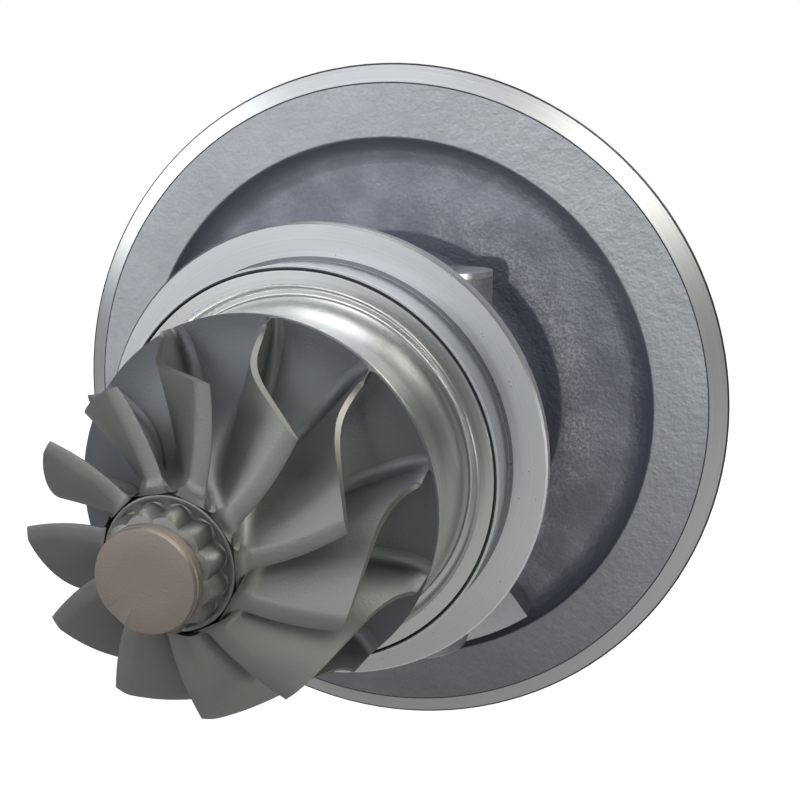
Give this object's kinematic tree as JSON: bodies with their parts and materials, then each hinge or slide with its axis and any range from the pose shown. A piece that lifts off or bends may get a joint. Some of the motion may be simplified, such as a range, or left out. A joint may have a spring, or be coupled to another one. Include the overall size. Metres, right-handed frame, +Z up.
{
  "type": "turbo cartridge",
  "caption": "Turbocharger centre cartridge: iron bearing housing with a large clamp disc and oil pads, pressed heat shield, floating shaft, bladed turbine wheel and compressor wheel.",
  "frame": {"origin": "on the shaft axis, in the plane of the joint face where the compressor cover meets the disc", "axes": "+Y along the shaft from the turbine wheel to the compressor wheel, +Z up through the oil inlet pad, +X to the right as seen from the turbine end"},
  "size_m": [0.19, 0.1977, 0.19],
  "materials": {
    "iron": "sand cast, machined on the joints and bands",
    "shield_steel": "pressed stainless sheet",
    "turbine_alloy": "investment cast nickel alloy, matte",
    "shaft_steel": "ground",
    "compressor_alloy": "milled",
    "bronze": "machined",
    "spring_steel": "blued",
    "sheet_steel": "zinc plated",
    "seal_alloy": "machined",
    "rubber": "moulded"
  },
  "bodies": {
    "housing": {"bearing_housing": "iron", "heat_shield": "shield_steel", "thrust_bearing": "bronze", "thrust_bearing_screws": "spring_steel", "oil_baffle": "sheet_steel", "seal_plate": "seal_alloy", "seal_plate_o_ring": "rubber", "seal_plate_retaining_ring": "spring_steel", "cover_o_ring": "rubber", "turbine_bush_rings": "spring_steel", "compressor_bush_rings": "spring_steel", "turbine_piston_ring": "spring_steel", "compressor_piston_ring": "spring_steel"},
    "rotor": {"turbine_wheel": "turbine_alloy", "turbine_blades": "turbine_alloy", "rotor_shaft": "shaft_steel", "thrust_collar": "shaft_steel", "seal_sleeve": "shaft_steel", "compressor_wheel": "compressor_alloy", "compressor_blades": "compressor_alloy", "compressor_nut": "shaft_steel"},
    "turbine_bush": {"turbine_bush": "bronze"},
    "compressor_bush": {"compressor_bush": "bronze"}
  },
  "joints": [
    {"name": "rotor_spin", "type": "hinge", "parent": "housing", "child": "rotor", "pos_m": [0, -0.042, 0], "axis": [0, 1, 0], "continuous": true},
    {"name": "turbine_bush_spin", "type": "hinge", "parent": "housing", "child": "turbine_bush", "pos_m": [0, -0.063, 0], "axis": [0, 1, 0], "continuous": true},
    {"name": "compressor_bush_spin", "type": "hinge", "parent": "housing", "child": "compressor_bush", "pos_m": [0, -0.021, 0], "axis": [0, 1, 0], "continuous": true}
  ]
}
